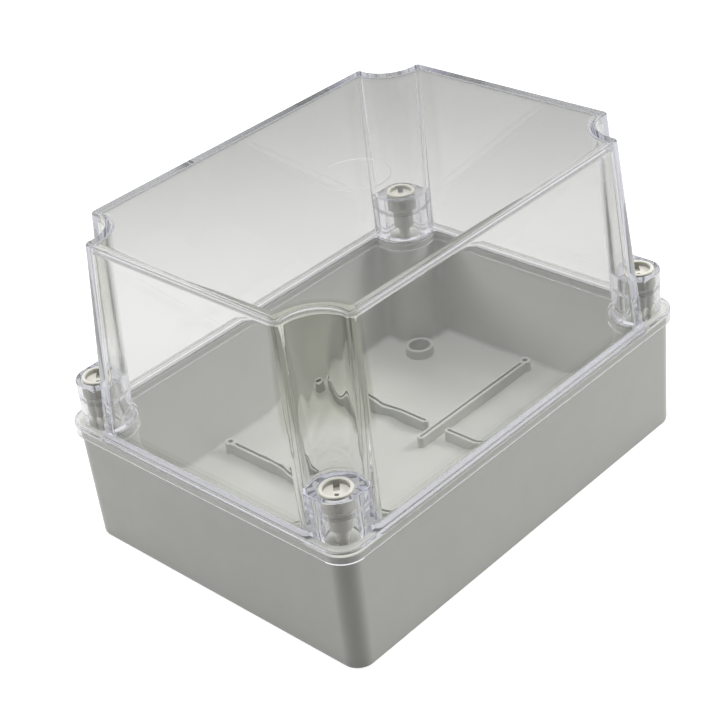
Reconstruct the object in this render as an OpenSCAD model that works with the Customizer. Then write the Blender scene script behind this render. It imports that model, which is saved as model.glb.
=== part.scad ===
// Electrical enclosure: a grey moulded base, a deep clear lid with scalloped corners,
// a seal in the lid's rim and four quarter-turn screws in the lid's corner posts.
// Origin at the middle of the underside, X along the length, Z up. Millimetres.

/* [Box] */
// Length over the lid's skirt
box_length = 202; // [160:1:320]
// Width over the lid's skirt
box_width = 152; // [120:1:240]
// Height with the lid on
box_height = 138.5; // [110:0.5:220]

/* [Base] */
// Height of the base up to its rim
base_height = 53; // [40:0.5:80]
// Thickness of the base's walls at the rim
base_wall = 2.6; // [2:0.1:3.4]
// Thickness of the floor
floor_thickness = 3; // [2:0.1:5]
// Draft angle of the base's walls
base_draft = 0.45; // [0:0.05:1]
// Radius of the base's upright edges at the rim
base_corner_radius = 8; // [6:0.5:10]
// Radius round the bottom edge
base_edge_radius = 2; // [0.5:0.1:3]
// Radius in the corner between floor and walls
floor_fillet = 1.5; // [0.5:0.1:3]
// Radius of the corner columns round the screws, at the rim
column_radius = 12.1; // [11.6:0.1:14]
// Radius that blends the corner columns into the walls
column_blend = 3; // [2:0.1:4]

/* [Lid] */
// Thickness of the lid's walls
lid_wall = 2.5; // [2:0.1:3]
// Thickness of the lid's top
lid_top = 2.5; // [2:0.1:4]
// Draft angle of the lid's walls
lid_draft = 3.45; // [1:0.05:4.5]
// Radius round the lid's top edge
lid_edge_radius = 1; // [0.5:0.1:2]
// Radius in the corner between the lid's walls and top
lid_inner_radius = 1.8; // [0.5:0.1:3]
// Radius of the lid's upright edges beside the scallops
lid_side_radius = 1.8; // [0.8:0.1:3]
// Radius of the corner scallops where they meet the shelf
scallop_radius = 9.4; // [9.2:0.1:12]
// Diameter of the plain ring sunk in the lid's top
ring_diameter = 27; // [12:1:50]
// Width of that ring's line
ring_line = 0.8; // [0.4:0.1:2]
// Depth of that ring's line
ring_depth = 0.3; // [0.1:0.1:0.8]

/* [Rim] */
// Width of the shelf outside the foot of the lid's walls
shelf = 3.8; // [3.2:0.1:6]
// Thickness of the flange under that shelf
flange = 1.7; // [1.2:0.1:3]
// Thickness of the lid's skirt
skirt = 1.6; // [1.2:0.1:2]
// How far the skirt and the tongue reach below the base's rim
rim_overlap = 2.6; // [1.5:0.1:5]
// Thickness of the tongue inside the base's rim
tongue = 1.5; // [1:0.1:2]
// Radius of the skirt's upright edges
skirt_corner_radius = 10; // [8:0.5:12]
// Radius round the skirt's top edge
skirt_edge_radius = 0.8; // [0.3:0.1:1.2]
// Height of the pressed seal
seal_height = 1.3; // [0.8:0.1:3]
// How far the seal stays back from the edges of the base's rim
seal_margin = 0.2; // [0.1:0.1:0.5]

/* [Screws and posts] */
// Distance of the screws from the skirt's outer faces
screw_inset = 12; // [12:0.5:18]
// Height of the posts above the shelf
post_height = 18; // [14:0.5:26]
// Thickness of the posts' walls
post_wall = 2.3; // [1.5:0.1:2.5]
// Diameter of the screw heads
head_diameter = 12.6; // [11:0.1:13]
// Height of the screw heads
head_height = 7.2; // [5.5:0.1:9]
// How far the heads stand above the posts
head_proud = 0.6; // [0:0.1:2]
// Thickness of the heads' walls round the recess
head_wall = 1.45; // [1.2:0.05:2.4]
// Depth of the recess in the heads
recess_depth = 5.4; // [3:0.1:5.8]
// Width of the screwdriver slot
slot_width = 2.2; // [1.2:0.1:3]
// Depth of the slot below the recess
slot_depth = 1; // [0.4:0.1:1.2]
// Height of the unbroken rim above the slot's ends
head_rim = 2.4; // [1.5:0.1:3]
// Thickness of the web that a head sits on
web = 2; // [1.5:0.1:3]
// Diameter of the shank below the head
shank_diameter = 8.8; // [7:0.1:9.6]
// Length of the shank below the head
shank_length = 9; // [6:0.1:11]
// Diameter of the tip that enters the base
tip_diameter = 5; // [4:0.1:6]
// Length of the locking bar from lug to lug
lug_span = 8.4; // [7.4:0.1:9.4]
// Width of the locking bar
lug_width = 2.4; // [1.6:0.1:3]
// Height of the locking bar
lug_height = 2.4; // [1.6:0.1:4]
// Length of the tip below the locking bar
tip_end = 0.8; // [0.4:0.1:2]
// Direction of the slots and keyways when the screws are open, from X
open_angle = 45; // [0:5:180]

/* [Corner bosses] */
// Thickness of the wall round the locking chamber
boss_wall = 2; // [1.5:0.1:2.4]
// Thickness of the plate that the lugs hook under
keyway_plate = 2.6; // [1.8:0.1:4]
// Room in the chamber below the tip
chamber_room = 4; // [1:0.5:10]
// Thickness of the webs across the corner pockets
pocket_web = 1.6; // [1:0.1:2.4]

/* [Floor] */
// Height of the slotted ribs above the floor
rib_height = 5; // [3:0.5:8]
// Width of the slotted ribs
rib_width = 3.4; // [3:0.1:5]
// Width of the slot along a rib
rib_slot = 1.3; // [0.8:0.1:1.6]
// Depth of the slot along a rib
rib_slot_depth = 3.5; // [1:0.5:4]
// Diameter of the pilot hole at a rib's outer end
pilot_diameter = 2.4; // [1.6:0.1:2.8]
// Depth of the pilot hole
pilot_depth = 6; // [3:0.5:6.5]
// Width of the round end that holds the pilot hole
pilot_pad = 5; // [4.6:0.1:7]
// Distance from a pilot hole to the wall's inner face at the rim
pilot_inset = 7; // [5:0.5:12]
// Solid length of a rib between its slot and its pilot hole
rib_bridge = 3; // [2:0.5:6]
// Distance between the two cross ribs
cross_spacing = 57.6; // [45:0.1:90]
// Half of the gap between the two halves of a cross rib
cross_gap = 5; // [4:0.5:10]
// Half of the gap between the two long ribs
long_gap = 17; // [8:0.5:20]
// Outer diameter of the wall-fixing rings
fixing_outer = 12.8; // [11:0.1:13]
// Inner diameter of the wall-fixing rings
fixing_inner = 9.6; // [7:0.1:10]
// Height of the wall-fixing rings above the floor
fixing_height = 4.5; // [3:0.1:7]
// Thickness of the knock-out skin under a wall-fixing ring
fixing_skin = 1.2; // [0.8:0.1:2]
// Distance of the wall-fixing rings from the screws, along X and along Y
fixing_step = 15; // [14.5:0.1:20]

/* [Fits] */
// Gap between pieces that slide past each other
slide_gap = 0.3; // [0.2:0.05:0.5]
// Gap between the shank and its web
turn_gap = 0.1; // [0.05:0.01:0.2]
// Gap between faces that press on each other
seat_gap = 0.1; // [0.05:0.01:0.2]

/* [Hidden] */
$fn = 64;
// Extra length of a cutting body past the face that it opens
cut = 1;
// How far a hollow runs past the flat face that closes it
lap = 0.2;
// Smallest radius of an edge
least_round = 0.4;
// Steps in each kind of arc
round_steps = 4;
blend_steps = 4;
scallop_steps = 12;
corner_steps = 8;

half_length = box_length / 2;
half_width = box_width / 2;
screw_x = half_length - screw_inset;
screw_y = half_width - screw_inset;

// Distances inwards from the skirt's outer faces
rim_outside = skirt + slide_gap;
rim_inside = rim_outside + base_wall;
tongue_outside = rim_inside + slide_gap;
tongue_inside = tongue_outside + tongue;

// Heights
channel_roof = base_height + seal_height;
shelf_top = channel_roof + flange;
wall_foot = channel_roof + flange / 2;
collar_top = shelf_top - flange / 3;
skirt_bottom = base_height - rim_overlap;
post_top = shelf_top + post_height;
head_top = post_top + head_proud;
head_seat = head_top - head_height;
web_top = head_seat - seat_gap;
chamber_roof = base_height - keyway_plate;
lug_top = chamber_roof - slide_gap;
tip_bottom = lug_top - lug_height - tip_end;
chamber_floor = tip_bottom - chamber_room;
shank_bottom = head_seat - shank_length;
rib_top = floor_thickness + rib_height;

// Radii round a screw's axis
head_bore = head_diameter / 2 + slide_gap;
web_bore = shank_diameter / 2 + turn_gap;
post_radius = head_bore + post_wall;
chamber_radius = lug_span / 2 + 2 * slide_gap;
boss_radius = chamber_radius + boss_wall;
rim_radius = column_radius - base_wall;

// Points along an arc, ends included
function arc(centre, radius, from, to, steps) =
    [for (i = [0:steps]) let (a = from + (to - from) * i / steps) centre + radius * [cos(a), sin(a)]];

function reversed(list) = [for (i = [len(list) - 1:-1:0]) list[i]];

// Carries the points of the corner at +X +Y round to the other three, anticlockwise
function four_corners(corner) = concat(
    corner,
    reversed([for (p = corner) [-p.x, p.y]]),
    [for (p = corner) -p],
    reversed([for (p = corner) [p.x, -p.y]]));

// Rectangle with round corners, that far inside the skirt
function plain_outline(inset, radius) =
    let (r = max(radius, least_round))
    four_corners(arc([half_length - inset - r, half_width - inset - r], r, 0, 90, corner_steps));

// Rectangle that far inside the skirt, with a round bay about each screw, ends of the bays blended
function bay_outline(inset, bay, blend) =
    let (screw = [screw_x, screw_y],
         side = half_length - inset - blend,
         end = half_width - inset - blend,
         side_centre = [side, screw.y - sqrt((bay + blend) ^ 2 - (side - screw.x) ^ 2)],
         end_centre = [screw.x - sqrt((bay + blend) ^ 2 - (end - screw.y) ^ 2), end],
         side_angle = atan2(screw.y - side_centre.y, screw.x - side_centre.x),
         end_angle = atan2(screw.y - end_centre.y, screw.x - end_centre.x),
         bay_arc = arc(screw, bay, side_angle - 180, end_angle - 180, scallop_steps))
    four_corners(concat(
        arc(side_centre, blend, 0, side_angle, blend_steps),
        [for (i = [1:scallop_steps - 1]) bay_arc[i]],
        arc(end_centre, blend, end_angle, 90, blend_steps)));

// The same round the base's corner columns, and round the lid's scallops
function column_outline(inset, blend) = bay_outline(inset, column_radius + inset - rim_inside, blend);
function scallop_outline(inset, blend) = bay_outline(inset, scallop_radius + inset - shelf, blend);

function at_height(outline, z) = [for (p = outline) [p.x, p.y, z]];

// Solid through a stack of rings that have the same number of points, lowest first
module loft(rings) {
    count = len(rings[0]);
    last = (len(rings) - 1) * count;
    walls = [for (layer = [0:len(rings) - 2], i = [0:count - 1])
        let (a = layer * count + i, b = layer * count + (i + 1) % count)
        each [[a, a + count, b + count], [a, b + count, b]]];
    polyhedron(
        points = [for (ring = rings) each ring],
        faces = concat([[for (i = [0:count - 1]) i]], walls, [[for (i = [count - 1:-1:0]) last + i]]));
}

// Children at each screw's axis, turned so that their +X and +Y point out of the box
module at_bosses() {
    signs = [[1, 1], [-1, 1], [-1, -1], [1, -1]];
    for (quarter = [0:3])
        translate([signs[quarter].x * screw_x, signs[quarter].y * screw_y, 0])
            rotate(90 * quarter) children();
}

// Children at each screw's axis, all turned alike
module at_screws() {
    for (side = [-1, 1], end = [-1, 1])
        translate([side * screw_x, end * screw_y, 0]) children();
}

// Flat ring
module ring_2d(outer, inner) {
    difference() {
        circle(outer);
        circle(inner);
    }
}

// Inset of the base's walls at a height, which grows downwards with the draft
function base_taper(z) = (base_height - z) * tan(base_draft);

// Outside of the base, round at the bottom edge
module base_outside() {
    bottom = [for (i = [0:round_steps]) let (a = 90 * i / round_steps,
                                             z = base_edge_radius * (1 - cos(a)),
                                             inset = base_taper(z) + base_edge_radius * (1 - sin(a)))
        at_height(plain_outline(rim_outside + inset, base_corner_radius - inset), z)];
    rim = [at_height(plain_outline(rim_outside, base_corner_radius), base_height)];
    loft(concat(bottom, rim));
}

// Hollow of the base, with the corner columns left standing
module base_hollow() {
    bottom = [for (i = [0:round_steps]) let (a = 90 * i / round_steps,
                                             z = floor_thickness + floor_fillet * (1 - cos(a)),
                                             inset = base_taper(z) + floor_fillet * (1 - sin(a)))
        at_height(column_outline(rim_inside + inset, column_blend), i == 0 ? z - lap : z)];
    top = base_height + cut;
    mouth = [at_height(column_outline(rim_inside + base_taper(top), column_blend), top)];
    loft(concat(bottom, mouth));
}

// Plate that closes the hollow with the floor's flat face
module floor_plate() {
    inset = rim_outside + base_taper(0) + base_edge_radius;
    translate([0, 0, floor_thickness / 2]) linear_extrude(floor_thickness / 2)
        polygon(plain_outline(inset, base_corner_radius - base_edge_radius));
}

// Pocket that cores out a corner column round its boss, in two halves beside a web
module corner_pocket() {
    reach = boss_radius / 2;
    far = 2 * rim_radius;
    translate([0, 0, floor_thickness + floor_fillet]) linear_extrude(base_height) difference() {
        intersection() {
            ring_2d(rim_radius, boss_radius);
            translate([reach - far, reach - far]) square(far);
        }
        rotate(45) translate([-far, -pocket_web / 2]) square([far, pocket_web]);
    }
}

// Chamber that the locking bar turns in, with its keyway
module locking_chamber() {
    translate([0, 0, chamber_floor]) cylinder(h = chamber_roof - chamber_floor, r = chamber_radius);
    translate([0, 0, chamber_floor]) cylinder(h = base_height, r = tip_diameter / 2 + slide_gap);
    translate([0, 0, chamber_floor]) rotate(open_angle) linear_extrude(base_height)
        locking_bar_2d(slide_gap);
}

// Plan of the locking bar, grown by a gap
module locking_bar_2d(gap) {
    intersection() {
        circle(lug_span / 2 + gap);
        square([lug_span + 3 * gap, lug_width + 2 * gap], center = true);
    }
}

// Bar along X with a square end, and a round start about a point
module round_start_2d(start, end, width) {
    translate([start, 0]) circle(d = width);
    translate([start, -width / 2]) square([end - start, width]);
}

// Slotted rib along X from its round start to its pilot hole, standing on the floor
module slotted_rib(from, to) {
    start = from + rib_width / 2;
    translate([0, 0, floor_thickness - cut]) difference() {
        linear_extrude(rib_height + cut) {
            round_start_2d(start, to, rib_width);
            translate([to, 0]) circle(d = pilot_pad);
        }
        translate([0, 0, rib_height + cut - rib_slot_depth]) linear_extrude(rib_slot_depth + cut)
            round_start_2d(start, to - rib_bridge, rib_slot);
    }
}

// Places of the pilot holes
pilot_x = half_length - rim_inside - pilot_inset;
pilot_y = half_width - rim_inside - pilot_inset;

module floor_ribs() {
    for (side = [0, 180])
        rotate(side) slotted_rib(long_gap, pilot_x);
    for (x = [-cross_spacing / 2, cross_spacing / 2], turn = [90, -90])
        translate([x, 0, 0]) rotate(turn) slotted_rib(cross_gap, pilot_y);
}

module pilot_holes() {
    places = [for (s = [-1, 1]) each [[s * pilot_x, 0],
                                      [s * cross_spacing / 2, pilot_y],
                                      [s * cross_spacing / 2, -pilot_y]]];
    for (p = places)
        translate([p.x, p.y, rib_top - pilot_depth]) cylinder(h = pilot_depth + cut, d = pilot_diameter);
}

// Children at each wall-fixing ring
module at_fixings() {
    for (side = [-1, 1], end = [-1, 1])
        translate([side * (screw_x - fixing_step), end * (screw_y - fixing_step), 0]) children();
}

module base() {
    color([0.72, 0.73, 0.71]) difference() {
        union() {
            difference() {
                base_outside();
                base_hollow();
                at_bosses() corner_pocket();
            }
            floor_plate();
            floor_ribs();
            at_fixings() translate([0, 0, floor_thickness - cut])
                cylinder(h = fixing_height + cut, d = fixing_outer);
        }
        at_screws() locking_chamber();
        pilot_holes();
        at_fixings() translate([0, 0, fixing_skin])
            cylinder(h = floor_thickness + fixing_height, d = fixing_inner);
    }
}

// Inset of the lid's walls at a height, which grows upwards with the draft
function lid_taper(z) = (z - shelf_top) * tan(lid_draft);

// Walls and top of the lid as a solid, round at the top edge
module lid_outside() {
    foot = [at_height(scallop_outline(shelf + lid_taper(wall_foot), lid_side_radius), wall_foot)];
    edge = [for (i = [0:round_steps]) let (a = 90 * i / round_steps,
                                           z = box_height - lid_edge_radius * (1 - sin(a)),
                                           inset = shelf + lid_taper(z) + lid_edge_radius * (1 - cos(a)))
        at_height(scallop_outline(inset, lid_side_radius), z)];
    loft(concat(foot, edge));
}

// Hollow of the lid, open at the bottom, with a step in from the tongue to the walls
module lid_hollow() {
    inner_side = max(lid_side_radius - lid_wall / 2, least_round);
    roof = box_height - lid_top;
    inside = shelf + lid_wall;
    mouth = [for (z = [skirt_bottom - cut, collar_top])
        at_height(column_outline(tongue_inside, max(column_blend - tongue, least_round)), z)];
    foot = [at_height(scallop_outline(inside, inner_side), shelf_top)];
    fillet = lid_inner_radius;
    edge = [for (i = [0:round_steps]) let (a = 90 * i / round_steps,
                                           z = roof - fillet * (1 - sin(a)),
                                           inset = inside + lid_taper(z) + fillet * (1 - cos(a)))
        at_height(scallop_outline(inset, inner_side), i == round_steps ? z + lap : z)];
    loft(concat(mouth, foot, edge));
}

// Plate that closes the hollow with the flat underside of the lid's top
module lid_roof() {
    roof = box_height - lid_top;
    translate([0, 0, roof]) linear_extrude(lid_top / 2)
        polygon(scallop_outline(shelf + lid_wall / 2 + lid_taper(roof), lid_side_radius));
}

// Shelf and skirt as a solid block, round at the top edge
module rim_block() {
    edge = [for (i = [0:round_steps]) let (a = 90 * i / round_steps,
                                           z = shelf_top - skirt_edge_radius * (1 - sin(a)),
                                           inset = skirt_edge_radius * (1 - cos(a)))
        at_height(plain_outline(inset, skirt_corner_radius - inset), z)];
    loft(concat([at_height(plain_outline(0, skirt_corner_radius), skirt_bottom)], edge));
}

// Channel for the base's rim and the seal, open at the bottom
module rim_channel() {
    translate([0, 0, skirt_bottom - cut]) linear_extrude(channel_roof - skirt_bottom + cut) difference() {
        polygon(plain_outline(skirt, skirt_corner_radius - skirt));
        polygon(column_outline(tongue_outside, column_blend));
    }
}

// Post that fills the foot of a scallop
module post() {
    reach = scallop_radius + lid_taper(post_top) + lid_wall / 2;
    translate([0, 0, wall_foot]) linear_extrude(post_top - wall_foot) intersection() {
        circle(reach);
        union() {
            circle(post_radius);
            translate([-reach, -reach]) square([reach + post_radius, reach]);
            translate([-reach, -reach]) square([reach, reach + post_radius]);
        }
    }
}

// Bore for a screw: a well for the head, a web with a hole, and an open tube below
module screw_bore() {
    translate([0, 0, web_top]) cylinder(h = post_top - web_top + cut, r = head_bore);
    translate([0, 0, web_top - web - cut]) cylinder(h = web + 2 * cut, r = web_bore);
    translate([0, 0, channel_roof - cut]) cylinder(h = web_top - web - channel_roof + cut, r = head_bore);
}

// Plain ring sunk in the lid's top
module top_ring() {
    middle = ring_diameter / 2;
    translate([0, 0, box_height - ring_depth]) linear_extrude(ring_depth + cut)
        ring_2d(middle + ring_line / 2, middle - ring_line / 2);
}

module lid() {
    color([0.88, 0.9, 0.93, 0.35]) difference() {
        union() {
            difference() {
                union() {
                    lid_outside();
                    rim_block();
                    at_bosses() post();
                }
                lid_hollow();
            }
            lid_roof();
        }
        rim_channel();
        at_bosses() screw_bore();
        top_ring();
    }
}

// Seal under the channel's roof, over the middle of the base's rim
module seal() {
    color([0.55, 0.56, 0.56])
        translate([0, 0, base_height + seat_gap]) linear_extrude(seal_height - seat_gap) difference() {
            polygon(column_outline(rim_outside + seal_margin, column_blend));
            polygon(column_outline(rim_inside - seal_margin, column_blend));
        }
}

// Quarter-turn screw on the Z axis, with its slot and locking bar along X
module screw() {
    recess_floor = head_top - recess_depth;
    recess_diameter = head_diameter - 2 * head_wall;
    color([0.82, 0.81, 0.77]) difference() {
        union() {
            translate([0, 0, head_seat]) cylinder(h = head_height, d = head_diameter);
            translate([0, 0, shank_bottom]) cylinder(h = shank_length + cut, d = shank_diameter);
            translate([0, 0, tip_bottom]) cylinder(h = shank_bottom - tip_bottom + cut, d = tip_diameter);
            translate([0, 0, lug_top - lug_height]) linear_extrude(lug_height) locking_bar_2d(0);
        }
        translate([0, 0, recess_floor]) cylinder(h = recess_depth + cut, d = recess_diameter);
        translate([-head_diameter, -slot_width / 2, recess_floor - slot_depth])
            cube([2 * head_diameter, slot_width, recess_depth + slot_depth - head_rim]);
    }
}

// Screw at a corner, given as the signs of X and Y
module corner_screw(side, end) {
    translate([side * screw_x, end * screw_y, 0]) rotate(open_angle) screw();
}

module front_left_screw() { corner_screw(-1, -1); }
module front_right_screw() { corner_screw(1, -1); }
module back_left_screw() { corner_screw(-1, 1); }
module back_right_screw() { corner_screw(1, 1); }

base();
lid();
seal();
front_left_screw();
front_right_screw();
back_left_screw();
back_right_screw();
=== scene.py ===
import math

import bpy
import numpy as np
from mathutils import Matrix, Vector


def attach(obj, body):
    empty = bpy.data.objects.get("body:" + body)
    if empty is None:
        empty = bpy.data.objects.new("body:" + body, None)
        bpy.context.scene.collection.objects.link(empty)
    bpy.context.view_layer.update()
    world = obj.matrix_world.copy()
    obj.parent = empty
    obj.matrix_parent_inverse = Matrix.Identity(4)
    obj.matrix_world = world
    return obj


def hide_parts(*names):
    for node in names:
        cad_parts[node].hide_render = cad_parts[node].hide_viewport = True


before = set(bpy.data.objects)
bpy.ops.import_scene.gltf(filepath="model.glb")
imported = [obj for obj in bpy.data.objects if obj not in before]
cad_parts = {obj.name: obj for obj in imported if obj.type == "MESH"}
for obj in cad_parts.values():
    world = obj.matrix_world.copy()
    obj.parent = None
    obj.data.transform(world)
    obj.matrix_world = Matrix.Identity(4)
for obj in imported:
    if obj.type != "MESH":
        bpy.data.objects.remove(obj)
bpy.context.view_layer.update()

# Sizes of the enclosure in millimetres, as in the part's source
HALF_LENGTH, HALF_WIDTH, HEIGHT = 101.0, 76.0, 138.5
SCREW_X, SCREW_Y = 89.0, 64.0
BASE_TOP, FLOOR = 53.0, 3.0
SKIRT_BOTTOM, CHANNEL_ROOF, SHELF_TOP, POST_TOP = 50.4, 54.3, 56.0, 74.0
RIM_OUTSIDE, RIM_INSIDE = 1.9, 4.5
SKIRT_INSIDE, TONGUE_OUTSIDE, TONGUE_INSIDE = 1.6, 4.8, 6.3
SHELF, LID_WALL, ROOF = 3.8, 2.5, 136.0
COLUMN, SCALLOP = 7.6, 5.6
BASE_DRAFT, LID_DRAFT = math.tan(math.radians(0.45)), math.tan(math.radians(3.45))
HEAD_BORE, WEB_BORE, POST_RADIUS = 6.6, 4.5, 8.9
WEB_TOP, WEB_BOTTOM = 67.3, 65.3
BASE_CORNER, LID_CORNER = 8.0, 10.0
RIB_HALF, RIB_PAD, RIB_TOP, PILOT = 1.7, 2.5, 8.0, 1.2
LONG_RIB_START, CROSS_RIB_START, PILOT_X, PILOT_Y, CROSS_RIB_X = 17.0, 5.0, 89.5, 64.5, 28.8
RING, RING_TOP, RECESS, RECESS_FLOOR, FIXING_X, FIXING_Y = 6.4, 7.5, 4.8, 1.2, 74.0, 49.0
OPEN_TURN = 45
CORNERS = {"front_left": (-1, -1), "front_right": (1, -1), "back_left": (-1, 1), "back_right": (1, 1)}

# Rounds, blends and bevels in millimetres
BOTTOM_ROUND, FLOOR_FILLET, RIM_ROUND, POST_ROUND = 2.0, 1.5, 0.3, 0.6
ROOF_FILLET, TOP_ROUND, SHELF_ROUND, SKIRT_ROUND, WALL_FILLET = 1.8, 1.0, 0.8, 0.1, 0.5
COLUMN_BLEND, TONGUE_BLEND, INNER_BLEND, OUTER_BLEND = 3.0, 1.5, 2.0, 1.8
BEVEL = 0.3

# Points along each kind of arc, and layers of the lid's walls
BLEND_STEPS, BAY_STEPS, ROUND_STEPS, TURN_STEPS, SIDE_STEPS = 8, 36, 6, 64, 24
CORNER_POINTS = 2 * (BLEND_STEPS + 1) + BAY_STEPS - 1
INNER_LAYERS, OUTER_LAYERS = 41, 21

# Start, end, turn and place along X of each rib, and the middles of the wall-fixing rings
RIBS = [(LONG_RIB_START, PILOT_X, turn, 0.0) for turn in (0, 180)]
RIBS += [(CROSS_RIB_START, PILOT_Y, turn, x) for turn in (90, -90) for x in (-CROSS_RIB_X, CROSS_RIB_X)]
FIXINGS = [(side * FIXING_X, end * FIXING_Y) for side, end in CORNERS.values()]


# Outlines in plan

def arc(centre, radius, start, end, steps):
    """Circle points: the centre plus the radius times cosine and sine of evenly spaced angles in degrees."""
    a = np.radians(np.linspace(start, end, steps + 1))
    return np.asarray(centre, float) + radius * np.column_stack((np.cos(a), np.sin(a)))


def four_corners(corner):
    """Loop from the corner at +X +Y: its mirror images follow, each reversed in turn to stay anticlockwise.

    Evenly spaced points on the straight sides lie between them.
    """
    back = corner[::-1]
    quarters = (corner, back * (-1, 1), -corner, back * (1, -1))
    share = np.linspace(0, 1, SIDE_STEPS + 1)[1:-1, None]
    sides = [a[-1] + share * (b[0] - a[-1]) for a, b in zip(quarters, quarters[1:] + quarters[:1])]
    return np.vstack([points for pair in zip(quarters, sides) for points in pair])


def plain_loop(inset, radius):
    """Rectangle with round corners, that far inside the skirt's faces."""
    centre = (HALF_LENGTH - inset - radius, HALF_WIDTH - inset - radius)
    return four_corners(arc(centre, radius, 0, 90, CORNER_POINTS - 1))


def bay_loop(inset, blend, offset):
    """Rectangle with a round bay about each screw, of radius offset plus inset.

    Each end of a bay is a small round of radius blend: its centre lies blend inside the side's line and
    the two radii from the screw's axis, so it touches both.
    """
    screw = np.array((SCREW_X, SCREW_Y))
    bay = offset + inset
    side, end = HALF_LENGTH - inset - blend, HALF_WIDTH - inset - blend
    side_centre = np.array((side, SCREW_Y - math.sqrt((bay + blend) ** 2 - (side - SCREW_X) ** 2)))
    end_centre = np.array((SCREW_X - math.sqrt((bay + blend) ** 2 - (end - SCREW_Y) ** 2), end))
    side_angle = math.degrees(math.atan2(*(screw - side_centre)[::-1]))
    end_angle = math.degrees(math.atan2(*(screw - end_centre)[::-1]))
    return four_corners(np.vstack((
        arc(side_centre, blend, 0, side_angle, BLEND_STEPS),
        arc(screw, bay, side_angle - 180, end_angle - 180, BAY_STEPS)[1:-1],
        arc(end_centre, blend, end_angle, 90, BLEND_STEPS))))


def circle_loop(radius, like):
    """Circle about the middle of the box, with a point in the direction of each point of another loop."""
    a = np.arctan2(like[:, 1], like[:, 0])
    return radius * np.column_stack((np.cos(a), np.sin(a)))


def spun(loop, degrees, x=0.0, y=0.0):
    """A loop turned about the origin and then moved."""
    a = math.radians(degrees)
    c, s = math.cos(a), math.sin(a)
    return loop @ np.array(((c, s), (-s, c))) + (x, y)


def mirrored(loop, side, end):
    """A loop about the screw at +X +Y, carried to another corner and kept anticlockwise."""
    moved = loop * (side, end)
    return moved[::-1] if side * end < 0 else moved


def inward(loop):
    """Unit vectors into an anticlockwise loop: each neighbour-to-neighbour direction turned left."""
    along = np.roll(loop, -1, 0) - np.roll(loop, 1, 0)
    left = np.column_stack((-along[:, 1], along[:, 0]))
    return left / np.linalg.norm(left, axis=1, keepdims=True)


def bar_loop(reach, spread):
    """Bar across a screw's axis: two arcs of one circle, each that many degrees to both sides of X."""
    return np.vstack((
        arc((0, 0), reach, -spread, spread, 8),
        arc((0, 0), reach, 180 - spread, 180 + spread, 8)))


def at(loop, z):
    """The loop's points at one height."""
    return np.column_stack((loop, np.full(len(loop), z)))


# Solids from loops

def piece(name, points, faces):
    """Mesh object from points in millimetres; the object stays at the origin."""
    mesh = bpy.data.meshes.new(name)
    mesh.from_pydata(np.asarray(points) * 0.001, [], faces)
    mesh.update()
    made = bpy.data.objects.new(name, mesh)
    bpy.context.scene.collection.objects.link(made)
    return made


def skin(stack, first=0):
    """Closed surface through a stack of loops with equal counts.

    Point k of a loop, point k plus one and the same two of the next loop make a quad, and a flat face
    closes each end. Loops run anticlockwise, and the side that faces out is on the right of the way along
    the stack.
    """
    count, layers = len(stack[0]), len(stack)
    here = np.arange(count)
    there = np.roll(here, -1)
    start = first + count * np.arange(layers - 1)[:, None]
    quads = np.stack((start + here, start + there, start + there + count, start + here + count), -1)
    ends = [(first + here[::-1]).tolist(), (first + count * (layers - 1) + here).tolist()]
    return np.vstack(stack), quads.reshape(-1, 4).tolist() + ends


def bundle(name, stacks):
    """One mesh object from several closed skins."""
    points, faces, first = [], [], 0
    for stack in stacks:
        p, f = skin(stack, first)
        points.append(p)
        faces += f
        first += len(p)
    return piece(name, np.vstack(points), faces)


def turned(profile, x, y):
    """Stack of circles about an upright axis, one for each radius and height of a profile."""
    return [at(arc((x, y), r, 0, 360 - 360 / TURN_STEPS, TURN_STEPS - 1), z) for r, z in profile]


def round_over(radius, steps=ROUND_STEPS):
    """Quarter round as pairs of (how far in, how far down), from the side face to the top face."""
    a = np.radians(np.linspace(0, 90, steps + 1))
    return np.column_stack((radius * (1 - np.cos(a)), radius * (1 - np.sin(a))))


def carve(target, tool, operation):
    """Union or difference of two closed meshes. The tool is used up."""
    change = target.modifiers.new("Carve", "BOOLEAN")
    change.object, change.operation, change.solver = tool, operation, "EXACT"
    made = bpy.data.meshes.new_from_object(target.evaluated_get(bpy.context.evaluated_depsgraph_get()))
    target.modifiers.clear()
    target.data = made
    bpy.data.objects.remove(tool)


def shade(part, sharp=28):
    """Smooth shading that breaks at edges sharper than the angle, with normals weighted by face area."""
    mesh = part.data
    mesh.polygons.foreach_set("use_smooth", np.ones(len(mesh.polygons), bool))
    mesh.set_sharp_from_angle(angle=math.radians(sharp))
    even = part.modifiers.new("Even normals", "WEIGHTED_NORMAL")
    even.keep_sharp = True


# Base

def base_inset(z):
    """Inset of the base's walls, which grows downwards with the draft."""
    return (BASE_TOP - z) * BASE_DRAFT


def base_outline(inset):
    """Outside of the base, that far inside its outline at the rim."""
    return plain_loop(RIM_OUTSIDE + inset, BASE_CORNER - inset)


def base_shell():
    """Profile carried round the box: underside, outer wall, rim, inner wall with corner columns, floor."""
    edge = round_over(RIM_ROUND, 3)
    stack = [at(base_outline(base_inset(d) + i), d) for i, d in round_over(BOTTOM_ROUND)[::-1]]
    stack += [at(base_outline(i), BASE_TOP - d) for i, d in edge]
    stack += [at(bay_loop(RIM_INSIDE - i, COLUMN_BLEND, COLUMN), BASE_TOP - d) for i, d in edge[::-1]]
    stack += [at(bay_loop(RIM_INSIDE + base_inset(FLOOR + d) + i, COLUMN_BLEND, COLUMN), FLOOR + d)
              for i, d in round_over(FLOOR_FILLET)]
    return bundle("base_moulding", [stack])


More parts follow.
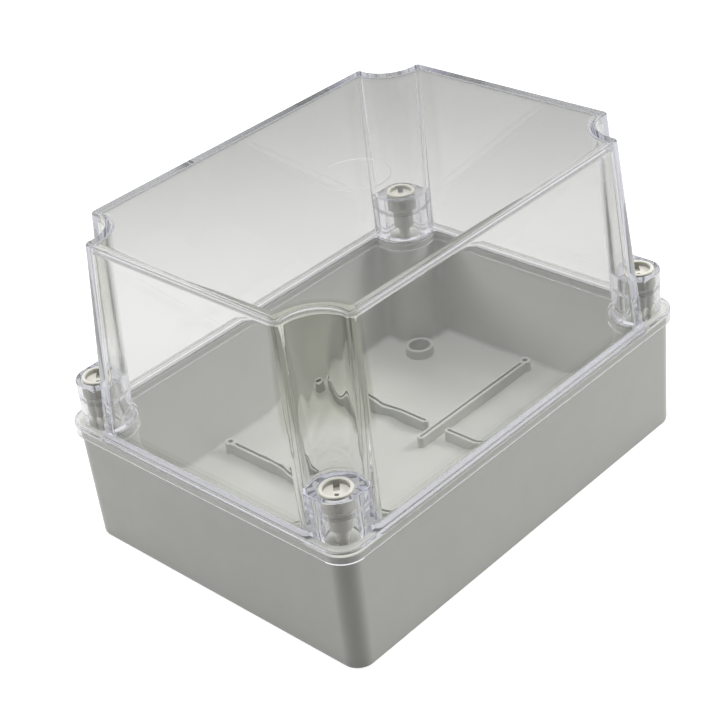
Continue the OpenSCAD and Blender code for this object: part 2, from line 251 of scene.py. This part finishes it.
def rib_loop(start, end):
    """Bar along X with a round start, and a round pad about its end."""
    neck = math.degrees(math.asin(RIB_HALF / RIB_PAD))
    return np.vstack((
        arc((start + RIB_HALF, 0), RIB_HALF, 90, 270, 12),
        arc((end, 0), RIB_PAD, neck - 180, 180 - neck, 24)))


def slot_loop(start, end):
    """Slot along a rib's middle, with a round start and a square end short of the pad."""
    half, gap = 0.65, 3.0
    return np.vstack((
        arc((start + RIB_HALF, 0), half, 90, 270, 12),
        ((end - gap, -half), (end - gap, half))))


def standing(loop, low, high):
    """Upright prism of a loop whose top edge is softened by moving the last loop inwards."""
    soften = 0.25
    return [at(loop, low), at(loop, high - soften), at(loop + soften * inward(loop), high)]


def floor_forms():
    """Ribs and fixing rings to join to the floor, and the slots, pilot holes and recesses to cut from them."""
    foot, pilot_floor, slot_floor, above = 2.0, 2.0, 4.5, 9.0
    forms, cuts = [], []
    for start, end, turn, x in RIBS:
        forms.append(standing(spun(rib_loop(start, end), turn, x), foot, RIB_TOP))
        cuts.append([at(spun(slot_loop(start, end), turn, x), z) for z in (slot_floor, above)])
        pilot = spun(np.array(((end, 0.0),)), turn, x)[0]
        cuts.append(turned([(PILOT, pilot_floor), (PILOT, above)], *pilot))
    ring = [(RING, foot), (RING, RING_TOP - BEVEL), (RING - BEVEL, RING_TOP)]
    recess = [(RECESS, RECESS_FLOOR), (RECESS, RING_TOP - BEVEL),
              (RECESS + BEVEL, RING_TOP + 0.1), (RECESS + BEVEL, above)]
    for x, y in FIXINGS:
        forms.append(turned(ring, x, y))
        cuts.append(turned(recess, x, y))
    return forms, cuts


def boss_hollows():
    """Cutters for the bosses: curved pockets and locking chambers with their bores, and then the keyways."""
    pocket_outer, pocket_inner, pocket_floor = 9.5, 6.8, 4.5
    chamber, bore, chamber_floor, plate = 4.8, 2.8, 42.9, 50.4
    key_reach, key_spread, key_floor, above = 4.5, 19.5, 46.0, 56.0
    pockets, chambers, keyways = [], [], []
    for side, end in CORNERS.values():
        x, y = side * SCREW_X, end * SCREW_Y
        for start, stop in ((-60, -126), (-144, -210)):
            sector = np.vstack((
                arc((0, 0), pocket_outer, stop, start, 20),
                arc((0, 0), pocket_inner, start, stop, 20)))
            pockets.append([at(mirrored(sector, side, end) + (x, y), z) for z in (pocket_floor, above)])
        lock = [(chamber, chamber_floor), (chamber, plate), (bore, plate), (bore, above)]
        chambers.append(turned(lock, x, y))
        key = spun(bar_loop(key_reach, key_spread), OPEN_TURN, x, y)
        keyways.append([at(key, z) for z in (key_floor, above)])
    return pockets + chambers, keyways


def base_piece():
    """Grey base: shell, floor ribs and fixing rings joined, then slots, holes, pockets and keyways cut."""
    base = base_shell()
    forms, cuts = floor_forms()
    pockets, keyways = boss_hollows()
    carve(base, bundle("ribs", forms), "UNION")
    carve(base, bundle("slots", cuts), "DIFFERENCE")
    carve(base, bundle("pockets", pockets), "DIFFERENCE")
    carve(base, bundle("keyways", keyways), "DIFFERENCE")
    shade(base)
    return base


# Lid

def lid_inset(z):
    """Inset of the lid's outer faces, which grows upwards with the draft."""
    return SHELF + (z - SHELF_TOP) * LID_DRAFT


def waved(loop, z):
    """A loop of the inner wall with faint moulding waves near the scallops, most at the front left one.

    Each point moves along its inward direction by a sine of the way along the loop. The sine is scaled by a
    bell over the distance from the nearest screw's axis and by a hump over the height.
    """
    front_depth, other_depth, length = 0.07, 0.01, 7.5
    swing, swing_rise = 4.0, 9.0
    bell_middle, bell_width = 14.0, 8.0
    hump_middle, hump_reach = 92.0, 40.0
    steps = np.linalg.norm(loop - np.roll(loop, 1, 0), axis=1)
    way = np.cumsum(steps) + swing * math.sin(z / swing_rise)
    gap = np.hypot(np.abs(loop[:, 0]) - SCREW_X, np.abs(loop[:, 1]) - SCREW_Y)
    bell = np.exp(-((gap - bell_middle) / bell_width) ** 2)
    hump = max(0.0, 1 - ((z - hump_middle) / hump_reach) ** 2)
    depth = np.where((loop[:, 0] < 0) & (loop[:, 1] < 0), front_depth, other_depth)
    wave = depth * hump * bell * np.sin(2 * math.pi * way / length)
    return loop + wave[:, None] * inward(loop)


def inner_layer(z, inset=0.0):
    """Inside of the lid's wall at one height, that much further in."""
    return at(waved(bay_loop(lid_inset(z) + LID_WALL + inset, INNER_BLEND, SCALLOP), z), z)


def outer_layer(z, inset=0.0):
    """Outside of the lid's wall at one height, that much further in."""
    return at(bay_loop(lid_inset(z) + inset, OUTER_BLEND, SCALLOP), z)


def skirt_layer(z, inset):
    """Outline of the skirt at one height, that far inside its outer faces."""
    return at(plain_loop(inset, LID_CORNER - inset), z)


def lid_shell():
    """Profile carried round the box: roof's underside, inner wall, tongue, channel, skirt, shelf, wall, top.

    A ring line is sunk in the middle of the top.
    """
    collar = 55.43
    bevelled = SKIRT_BOTTOM + BEVEL
    stack = [inner_layer(ROOF - d, i) for i, d in round_over(ROOF_FILLET)[::-1]]
    stack += [inner_layer(z) for z in np.linspace(ROOF - ROOF_FILLET, SHELF_TOP, INNER_LAYERS)[1:]]
    stack += [at(bay_loop(i, blend, COLUMN), z) for i, blend, z in (
        (TONGUE_INSIDE, TONGUE_BLEND, collar),
        (TONGUE_INSIDE, TONGUE_BLEND, bevelled),
        (TONGUE_INSIDE - BEVEL, TONGUE_BLEND + BEVEL, SKIRT_BOTTOM),
        (TONGUE_OUTSIDE + BEVEL, COLUMN_BLEND - BEVEL, SKIRT_BOTTOM),
        (TONGUE_OUTSIDE, COLUMN_BLEND, bevelled),
        (TONGUE_OUTSIDE, COLUMN_BLEND, CHANNEL_ROOF))]
    stack += [skirt_layer(CHANNEL_ROOF, SKIRT_INSIDE), skirt_layer(bevelled, SKIRT_INSIDE)]
    stack += [skirt_layer(SKIRT_BOTTOM, SKIRT_INSIDE - BEVEL)]
    stack += [skirt_layer(SKIRT_BOTTOM + d, i) for i, d in round_over(SKIRT_ROUND, 2)[::-1]]
    stack += [skirt_layer(SHELF_TOP - d, i) for i, d in round_over(SHELF_ROUND)]
    stack += [outer_layer(SHELF_TOP + d, -i) for i, d in round_over(WALL_FILLET, 4)[::-1]]
    stack += [outer_layer(z) for z in
              np.linspace(SHELF_TOP + WALL_FILLET, HEIGHT - TOP_ROUND, OUTER_LAYERS)[1:-1]]
    stack += [outer_layer(HEIGHT - d, i) for i, d in round_over(TOP_ROUND)]
    line_outer, line_inner, line_slope, line_depth = 13.9, 13.1, 0.25, 0.1
    top = stack[-1][:, :2]
    stack += [at(circle_loop(radius, top), HEIGHT - d) for radius, d in (
        (line_outer, 0.0), (line_outer - line_slope, line_depth),
        (line_inner + line_slope, line_depth), (line_inner, 0.0))]
    return bundle("clear_lid", [stack])


def post_loop(inset):
    """Plan of a post about its screw: flat outer faces, a round corner and a round back inside the wall."""
    reach, face = 11.73, POST_RADIUS - inset
    span = math.degrees(math.asin(face / reach))
    return np.vstack((
        arc((0, 0), reach, 180 - span, 270 + span, 40),
        arc((0, 0), face, 0, 90, 16)))


def post_fillet(side, end):
    """Hollow round between a post's top and the scallop behind it.

    Each section lies in a plane through the screw's axis: a quarter circle that touches the top and the
    wall. Its radius falls to nearly nothing at both ends of the scallop, as the root of a sine does.
    """
    first_angle, sweep, sections = -214, 158, 41
    least, swell = 0.05, 1.35
    wall = SCALLOP + lid_inset(POST_TOP)
    back, low = wall + 0.8, POST_TOP - 0.7
    a = np.radians(np.linspace(0, 90, 9))
    stack = []
    for t in np.linspace(0.0, 1.0, sections):
        angle = math.radians(first_angle + sweep * t)
        radius = least + swell * math.sqrt(math.sin(math.pi * t))
        rise = radius * (1 - np.sin(a))
        hollow = wall - radius * (1 - np.cos(a)) + LID_DRAFT * rise
        r = np.concatenate(([back, back], hollow, [wall - radius]))
        z = np.concatenate(([low, POST_TOP + radius], POST_TOP + rise, [low]))
        x, y = side * (SCREW_X + r * math.cos(angle)), end * (SCREW_Y + r * math.sin(angle))
        ring = np.column_stack((x, y, z))
        stack.append(ring if side * end > 0 else ring[::-1])
    return stack


def lid_piece():
    """Clear lid: the shell joined to its posts and their fillets, then screw wells and tubes cut."""
    lid = lid_shell()
    post_foot, below, above = 55.2, 53.0, 76.0
    mouth_bevel = 0.4
    bore = [(HEAD_BORE, below), (HEAD_BORE, WEB_BOTTOM), (WEB_BORE, WEB_BOTTOM), (WEB_BORE, WEB_TOP),
            (HEAD_BORE, WEB_TOP), (HEAD_BORE, POST_TOP - mouth_bevel),
            (HEAD_BORE + mouth_bevel, POST_TOP), (HEAD_BORE + mouth_bevel, above)]
    layers = [(0.0, post_foot)] + [(i, POST_TOP - d) for i, d in round_over(POST_ROUND, 4)]
    posts, fillets, wells = [], [], []
    for side, end in CORNERS.values():
        x, y = side * SCREW_X, end * SCREW_Y
        posts.append([at(mirrored(post_loop(i), side, end) + (x, y), z) for i, z in layers])
        fillets.append(post_fillet(side, end))
        wells.append(turned(bore, x, y))
    carve(lid, bundle("posts", posts), "UNION")
    carve(lid, bundle("fillets", fillets), "UNION")
    carve(lid, bundle("wells", wells), "DIFFERENCE")
    shade(lid)
    return lid


# Seal

def seal_piece():
    """Soft ring: a rectangular section carried along the base's rim, inside the screws."""
    gap, low, high = 0.2, 53.15, 54.25
    outer, inner = RIM_OUTSIDE + gap, RIM_INSIDE - gap
    section = ((outer, low), (outer, high), (inner, high), (inner, low))
    stack = [at(bay_loop(i, COLUMN_BLEND, COLUMN), z) for i, z in section]
    points, faces = skin(stack)
    count = len(stack[0])
    here = np.arange(count)
    there = np.roll(here, -1)
    last = count * (len(stack) - 1)
    close = np.column_stack((last + here, last + there, there, here))
    ring = piece("rim_seal", points, faces[:-2] + close.tolist())
    shade(ring)
    return ring


# Screws

def screw_piece(name, x, y):
    """Quarter-turn screw: a turned body with a dished top and a locking bar, then its slots cut.

    Two slots are sunk in the dish, a wide one behind and a small one in front, and a shallow window in the
    head's side stands below each. The faces inside them, and the dish's wall, have the second material: a
    darker copy of the screw's plastic, painted shade for the shadow that falls in them.
    """
    tip, shank_top, head_low, head_top = 46.9, 58.4, 67.4, 74.6
    shank, collar, head, bowl = 2.5, 4.4, 6.3, 4.85
    dish, slot_floor = 72.6, 71.0
    body = [(shank - 0.4, tip), (shank, tip + 0.4), (shank, shank_top),
            (collar - BEVEL, shank_top), (collar, shank_top + BEVEL), (collar, head_low),
            (head - 0.5, head_low), (head, head_low + 0.5), (head, head_top - BEVEL), (head - BEVEL, head_top),
            (bowl + BEVEL, head_top), (bowl, head_top - BEVEL), (bowl + 0.25, dish + 0.2), (bowl + 0.05, dish)]
    screw = bundle(name, [turned(body, x, y)])

    bar_reach, bar_spread, bar_low, bar_high = 4.2, 16.6, 47.7, 50.1
    bar = spun(bar_loop(bar_reach, bar_spread), OPEN_TURN, x, y)
    carve(screw, bundle("bar", [[at(bar, z) for z in (bar_low, bar_high)]]), "UNION")

    # Nearest and farthest reach from the axis, half width, lowest and highest point of each hollow
    slot_half, window_half, window_low, window_high = 1.15, 1.1, 68.4, 72.4
    wide_slot = 0.6, 5.4, slot_half, slot_floor, 73.9
    small_slot = 1.1, 2.6, 0.75, slot_floor, dish + 0.5
    window = 5.7, 7.0, window_half, window_low, window_high
    slots = []
    for turn, hollow in ((0, wide_slot), (180, small_slot), (0, window), (180, window)):
        near, far, half, low, high = hollow
        box = np.array(((near, -half), (far, -half), (far, half), (near, half)))
        slots.append([at(spun(box, OPEN_TURN + turn, x, y), z) for z in (low, high)])
    carve(screw, bundle("slots", slots), "DIFFERENCE")

    mesh = screw.data
    middles = np.empty(3 * len(mesh.polygons))
    mesh.polygons.foreach_get("center", middles)
    middles = middles.reshape(-1, 3) * 1000 - (x, y, 0)
    across = np.abs(middles[:, 0] - middles[:, 1]) / math.sqrt(2)
    reach, height = np.hypot(middles[:, 0], middles[:, 1]), middles[:, 2]
    bowl_wall, window_wall = (reach > 4.8) & (reach < 5.5), (reach > 5.6) & (reach < 6.27)
    # Painted shade: faces inside the slots, the backs and sides of the shallow windows and the dish's wall
    # take the darker second material in place of the shadow there
    shaded = (across < slot_half + 0.01) & (reach < 5.5) & (height > slot_floor - 0.1) & (height < dish - 0.1)
    shaded |= bowl_wall & (height > dish + 0.1) & (height < head_top - 0.4)
    in_window = (across < window_half + 0.01) & (height > window_low - 0.1) & (height < window_high + 0.1)
    shaded |= window_wall & in_window
    mesh.polygons.foreach_set("material_index", shaded.astype(np.int32))
    shade(screw)
    return screw


# Materials

# Values that most of a noise lies between
NOISE_RANGE = 0.3, 0.7


def material(name):
    """New material and its node tree, with the Principled node."""
    made = bpy.data.materials.new(name)
    made.use_nodes = True
    return made, made.node_tree, made.node_tree.nodes["Principled BSDF"]


def noise(tree, scale, detail=2.0):
    """Noise over the piece's own coordinates, in features per metre."""
    place = tree.nodes.new("ShaderNodeTexCoord")
    made = tree.nodes.new("ShaderNodeTexNoise")
    made.inputs["Scale"].default_value = scale
    made.inputs["Detail"].default_value = detail
    tree.links.new(place.outputs["Object"], made.inputs["Vector"])
    return made.outputs["Fac"]


def between(tree, value, low, high):
    """A noise value carried to a range of numbers."""
    made = tree.nodes.new("ShaderNodeMapRange")
    made.inputs["From Min"].default_value, made.inputs["From Max"].default_value = NOISE_RANGE
    made.inputs["To Min"].default_value = low
    made.inputs["To Max"].default_value = high
    tree.links.new(value, made.inputs["Value"])
    return made.outputs["Result"]


def tints(tree, value, low, high):
    """A noise value or a share carried to a range of colours."""
    made = tree.nodes.new("ShaderNodeValToRGB")
    for stop, position, colour in zip(made.color_ramp.elements, NOISE_RANGE, (low, high)):
        stop.position, stop.color = position, (*colour, 1)
    tree.links.new(value, made.inputs["Fac"])
    return made.outputs["Color"]


def feed(tree, value, socket):
    """A socket's value: a number is set on it, and another socket is linked to it."""
    if isinstance(value, (int, float)):
        socket.default_value = value
    else:
        tree.links.new(value, socket)


def lerp(tree, share, low, high):
    """A number between two others, by a share from zero to one. Each end may be a number or a socket."""
    made = tree.nodes.new("ShaderNodeMix")
    for name, value in (("Factor", share), ("A", low), ("B", high)):
        feed(tree, value, made.inputs[name])
    return made.outputs["Result"]


def arithmetic(tree, operation, first, second):
    """Sum, difference, product, power or comparison of two values. Each may be a number or a socket."""
    made = tree.nodes.new("ShaderNodeMath")
    made.operation = operation
    feed(tree, first, made.inputs[0])
    feed(tree, second, made.inputs[1])
    return made.outputs[0]


def coordinate(tree, output, axis):
    """One coordinate of a texture place."""
    place = tree.nodes.new("ShaderNodeTexCoord")
    parts = tree.nodes.new("ShaderNodeSeparateXYZ")
    tree.links.new(place.outputs[output], parts.inputs[0])
    return parts.outputs[axis]


def ramp(tree, value, low, high):
    """Smooth rise from zero at one value to one at another."""
    made = tree.nodes.new("ShaderNodeMapRange")
    made.interpolation_type = "SMOOTHSTEP"
    made.inputs["From Min"].default_value = low
    made.inputs["From Max"].default_value = high
    tree.links.new(value, made.inputs["Value"])
    return made.outputs["Result"]


def bump(tree, value, strength, depth):
    """Fine relief from a noise value, depth in metres."""
    made = tree.nodes.new("ShaderNodeBump")
    made.inputs["Strength"].default_value = strength
    made.inputs["Distance"].default_value = depth
    tree.links.new(value, made.inputs["Height"])
    return made.outputs["Normal"]


def screw_gap(tree):
    """Distance in plan from the nearest screw's axis, in metres."""
    squares = []
    for axis, screw in (("X", SCREW_X), ("Y", SCREW_Y)):
        away = arithmetic(tree, "ABSOLUTE", coordinate(tree, "Object", axis), 0.0)
        squares.append(arithmetic(tree, "POWER", arithmetic(tree, "SUBTRACT", away, 0.001 * screw), 2.0))
    return arithmetic(tree, "POWER", arithmetic(tree, "ADD", *squares), 0.5)


def towards_back(tree, low, high):
    """Smooth rise from the front left corner to the back right one, over the sum of both plan coordinates."""
    across, ahead = coordinate(tree, "Object", "X"), coordinate(tree, "Object", "Y")
    return ramp(tree, arithmetic(tree, "ADD", across, ahead), low, high)


def mixed(tree, share, first, second):
    """Two shaders mixed by a share from zero to one, a number or a socket."""
    made = tree.nodes.new("ShaderNodeMixShader")
    feed(tree, share, made.inputs["Fac"])
    tree.links.new(first, made.inputs[1])
    tree.links.new(second, made.inputs[2])
    return made.outputs[0]


def grey_moulding():
    """Light grey plastic with a fine satin grain."""
    made, tree, surface = material("grey_moulding")
    dark, light = (0.545, 0.552, 0.512), (0.565, 0.572, 0.532)
    tree.links.new(tints(tree, noise(tree, 60, 3), dark, light), surface.inputs["Base Color"])
    tree.links.new(between(tree, noise(tree, 220), 0.34, 0.44), surface.inputs["Roughness"])
    tree.links.new(bump(tree, noise(tree, 2600), 0.05, 0.0001), surface.inputs["Normal"])
    surface.inputs["IOR"].default_value = 1.5
    return made


def scallop_tint(tree):
    """Colour of the clear plastic: nearly white, and duller in the scallops above the posts.

    The dullness fades with the distance from the screw's axis, downwards to the posts, and from the front
    left corner to the back right one.
    """
    dull, plain = (0.78, 0.78, 0.71), (0.97, 0.968, 0.955)
    above_posts = ramp(tree, coordinate(tree, "Object", "Z"), 0.078, 0.11)
    outside = ramp(tree, screw_gap(tree), 0.017, 0.021)
    outside = lerp(tree, towards_back(tree, -0.15, 0.1), outside, 1.0)
    return tints(tree, lerp(tree, above_posts, 1.0, outside), dull, plain)


def clear_moulding():
    """Clear plastic with faint flow ripples and a cool tint that grows with the depth.

    A ray that has been mirrored three times or more, as inside the lid's edges, goes straight on and gains an
    even painted glow in place of the light its further mirrorings would bring. A ray to a lamp goes straight
    through, with less loss beside the posts than above them.
    """
    mirrored_often, glow_share = 2.5, 0.25
    beside_posts, above_posts = 0.98, 0.84
    made, tree, surface = material("clear_moulding")
    tree.links.new(scallop_tint(tree), surface.inputs["Base Color"])
    surface.inputs["Transmission Weight"].default_value = 1.0
    surface.inputs["IOR"].default_value = 1.58
    tree.links.new(between(tree, noise(tree, 90), 0.0, 0.012), surface.inputs["Roughness"])
    tree.links.new(bump(tree, noise(tree, 22, 1), 0.06, 0.0006), surface.inputs["Normal"])

    path = tree.nodes.new("ShaderNodeLightPath")
    straight_on = tree.nodes.new("ShaderNodeBsdfTransparent")
    # Painted light: the lid itself glows for rays caught in its edges
    even_glow = tree.nodes.new("ShaderNodeEmission")
    even_glow.inputs["Color"].default_value = (0.58, 0.58, 0.61, 1)
    made.cycles.emission_sampling = "NONE"
    escape = mixed(tree, glow_share, straight_on.outputs[0], even_glow.outputs[0])
    caught = arithmetic(tree, "GREATER_THAN", path.outputs["Glossy Depth"], mirrored_often)
    seen = mixed(tree, caught, surface.outputs[0], escape)

    passing = tree.nodes.new("ShaderNodeBsdfTransparent")
    height = ramp(tree, coordinate(tree, "Object", "Z"), 0.070, 0.080)
    tree.links.new(lerp(tree, height, beside_posts, above_posts), passing.inputs["Color"])
    lit = mixed(tree, path.outputs["Is Shadow Ray"], seen, passing.outputs[0])
    tree.links.new(lit, tree.nodes["Material Output"].inputs["Surface"])

    depth = tree.nodes.new("ShaderNodeVolumeAbsorption")
    depth.inputs["Color"].default_value = (0.24, 0.26, 0.44, 1)
    depth.inputs["Density"].default_value = 14.0
    tree.links.new(depth.outputs[0], tree.nodes["Material Output"].inputs["Volume"])
    return made


def screw_moulding(name, level):
    """Warm grey plastic of a given lightness, with a faint painted glow for the light the clear posts gather.
    """
    made, tree, surface = material(name)
    dark, light = np.array((0.60, 0.59, 0.53)) * level, np.array((0.65, 0.64, 0.58)) * level
    tree.links.new(tints(tree, noise(tree, 300), dark, light), surface.inputs["Base Color"])
    tree.links.new(between(tree, noise(tree, 700), 0.28, 0.4), surface.inputs["Roughness"])
    tree.links.new(bump(tree, noise(tree, 4000), 0.1, 0.00005), surface.inputs["Normal"])
    # Painted light: the plastic glows faintly in place of the light that the clear posts bring to the screws
    surface.inputs["Emission Color"].default_value = (1.0, 0.98, 0.90, 1)
    surface.inputs["Emission Strength"].default_value = 0.06
    return made


def soft_seal():
    """Dull grey foam with fine cells."""
    made, tree, surface = material("soft_seal")
    dark, light = (0.49, 0.49, 0.52), (0.55, 0.55, 0.58)
    tree.links.new(tints(tree, noise(tree, 1500), dark, light), surface.inputs["Base Color"])
    tree.links.new(bump(tree, noise(tree, 3000), 0.4, 0.0001), surface.inputs["Normal"])
    surface.inputs["Roughness"].default_value = 0.8
    return made


def dress(part, *looks):
    """Materials on a piece, in the order of its faces' numbers."""
    for look in looks:
        part.data.materials.append(look)


base, lid, seal = base_piece(), lid_piece(), seal_piece()
dress(base, grey_moulding())
dress(lid, clear_moulding())
dress(seal, soft_seal())
for part, body, node in ((base, "base", "base"), (lid, "lid", "lid"), (seal, "lid", "seal")):
    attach(part, body)
    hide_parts(node)
# The second look is a darker copy of the screw's plastic: painted shade for the slots, windows and dish wall
screw_looks = screw_moulding("screw_moulding", 0.85), screw_moulding("painted_slot_shade", 0.6)
for corner, (side, end) in CORNERS.items():
    screw, node = screw_piece(corner + "_lid_screw", side * SCREW_X, end * SCREW_Y), corner + "_screw"
    dress(screw, *screw_looks)
    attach(screw, node)
    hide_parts(node)


# Floor, light and camera

def white_floor():
    """Large flat floor that looks white and takes a faint shadow.

    Rays that look see a glow added to the shaded floor. In mirrors it is brighter on the left than on the
    right, dark in front and bright behind. Through the clear lid it falls off to the back and to the right.
    """
    reach, height = 6000.0, -0.2
    left_mirror, right_mirror, front_mirror, back_mirror = 0.75, 0.35, 0.1, 0.8
    near_through, far_through, right_share, seen_directly = 0.44, 0.10, 0.6, 0.94
    corners = [(x * reach, y * reach, height) for x, y in ((-1, -1), (1, -1), (1, 1), (-1, 1))]
    floor = piece("floor", corners, [(0, 1, 2, 3)])
    made, tree, surface = material("white_floor")
    surface.inputs["Base Color"].default_value = (0.3, 0.3, 0.3, 1)
    surface.inputs["Roughness"].default_value = 0.9
    surface.inputs["Specular IOR Level"].default_value = 0.0
    path = tree.nodes.new("ShaderNodeLightPath")
    across, ahead = coordinate(tree, "Object", "X"), coordinate(tree, "Object", "Y")
    in_mirrors = lerp(tree, ramp(tree, across, -0.5, 0.5), left_mirror, right_mirror)
    in_mirrors = lerp(tree, towards_back(tree, -0.4, -0.2), front_mirror, in_mirrors)
    in_mirrors = lerp(tree, towards_back(tree, 0.15, 0.4), in_mirrors, back_mirror)
    through = lerp(tree, towards_back(tree, 0.25, 0.65), near_through, far_through)
    to_right = ramp(tree, arithmetic(tree, "SUBTRACT", across, ahead), 0.0, 0.25)
    through = lerp(tree, to_right, through, arithmetic(tree, "MULTIPLY", through, right_share))
    level = lerp(tree, path.outputs["Is Glossy Ray"], 0.0, in_mirrors)
    level = lerp(tree, path.outputs["Is Transmission Ray"], level, through)
    level = lerp(tree, path.outputs["Diffuse Depth"], level, 0.0)
    level = lerp(tree, path.outputs["Is Camera Ray"], level, seen_directly)
    glow = tree.nodes.new("ShaderNodeEmission")
    tree.links.new(level, glow.inputs["Strength"])
    both = tree.nodes.new("ShaderNodeAddShader")
    tree.links.new(surface.outputs[0], both.inputs[0])
    tree.links.new(glow.outputs[0], both.inputs[1])
    tree.links.new(both.outputs[0], tree.nodes["Material Output"].inputs["Surface"])
    dress(floor, made)


def studio_world():
    """Room with a pale foot, dim walls and a bright ceiling in mirrors.

    Through the clear lid it is an even grey, as light a faint fill, and to the camera a white backdrop.
    """
    foot, walls, ceiling = 0.5, 0.12, 1.3
    through, fill, backdrop = 0.55, 0.02, 1.0
    world = bpy.data.worlds.new("studio")
    world.use_nodes = True
    bpy.context.scene.world = world
    tree = world.node_tree
    path = tree.nodes.new("ShaderNodeLightPath")
    height = coordinate(tree, "Generated", "Z")
    level = lerp(tree, ramp(tree, height, 0.28, 0.4), foot, walls)
    level = lerp(tree, ramp(tree, height, 0.4, 0.55), level, ceiling)
    level = lerp(tree, path.outputs["Is Transmission Ray"], level, through)
    level = lerp(tree, path.outputs["Diffuse Depth"], level, fill)
    level = lerp(tree, path.outputs["Is Camera Ray"], level, backdrop)
    tree.links.new(level, tree.nodes["Background"].inputs["Strength"])
    tree.nodes["Background"].inputs["Color"].default_value = (1, 1, 1, 1)


def softbox(name, place, size, watts):
    """Square lamp aimed at the base, place and size in metres. Mirrors and clear pieces don't show it."""
    lamp = bpy.data.lights.new(name, "AREA")
    lamp.shape, lamp.size, lamp.energy = "SQUARE", size, watts
    made = bpy.data.objects.new(name, lamp)
    made.location = place
    target = (0, 0, 0.05)
    aim = Vector(target) - Vector(place)
    made.rotation_euler = aim.to_track_quat("-Z", "Y").to_euler()
    bpy.context.scene.collection.objects.link(made)
    made.visible_camera = made.visible_glossy = made.visible_transmission = False


white_floor()
studio_world()
softbox("top_light", (0.0, 0.0, 2.2), 0.5, 31.9)
softbox("back_light", (0.8, 0.8, 1.8), 0.6, 12.8)
softbox("left_light", (-0.75, 1.07, 0.65), 0.6, 11.6)
softbox("right_light", (1.07, -0.75, 1.0), 0.6, 21.3)

# Camera fitted to the photograph: lens in millimetres, place in metres, turns in degrees
camera = bpy.data.objects.new("camera", bpy.data.cameras.new("camera"))
camera.data.lens, camera.data.sensor_width = 86.864, 36.0
camera.location = (-0.41059, -0.42315, 0.42639)
camera.rotation_euler = tuple(math.radians(a) for a in (57.7140, 6.1190, -47.3182))
camera.data.clip_start = 0.01
bpy.context.scene.collection.objects.link(camera)
bpy.context.scene.camera = camera
bpy.context.scene.view_settings.view_transform = "Standard"
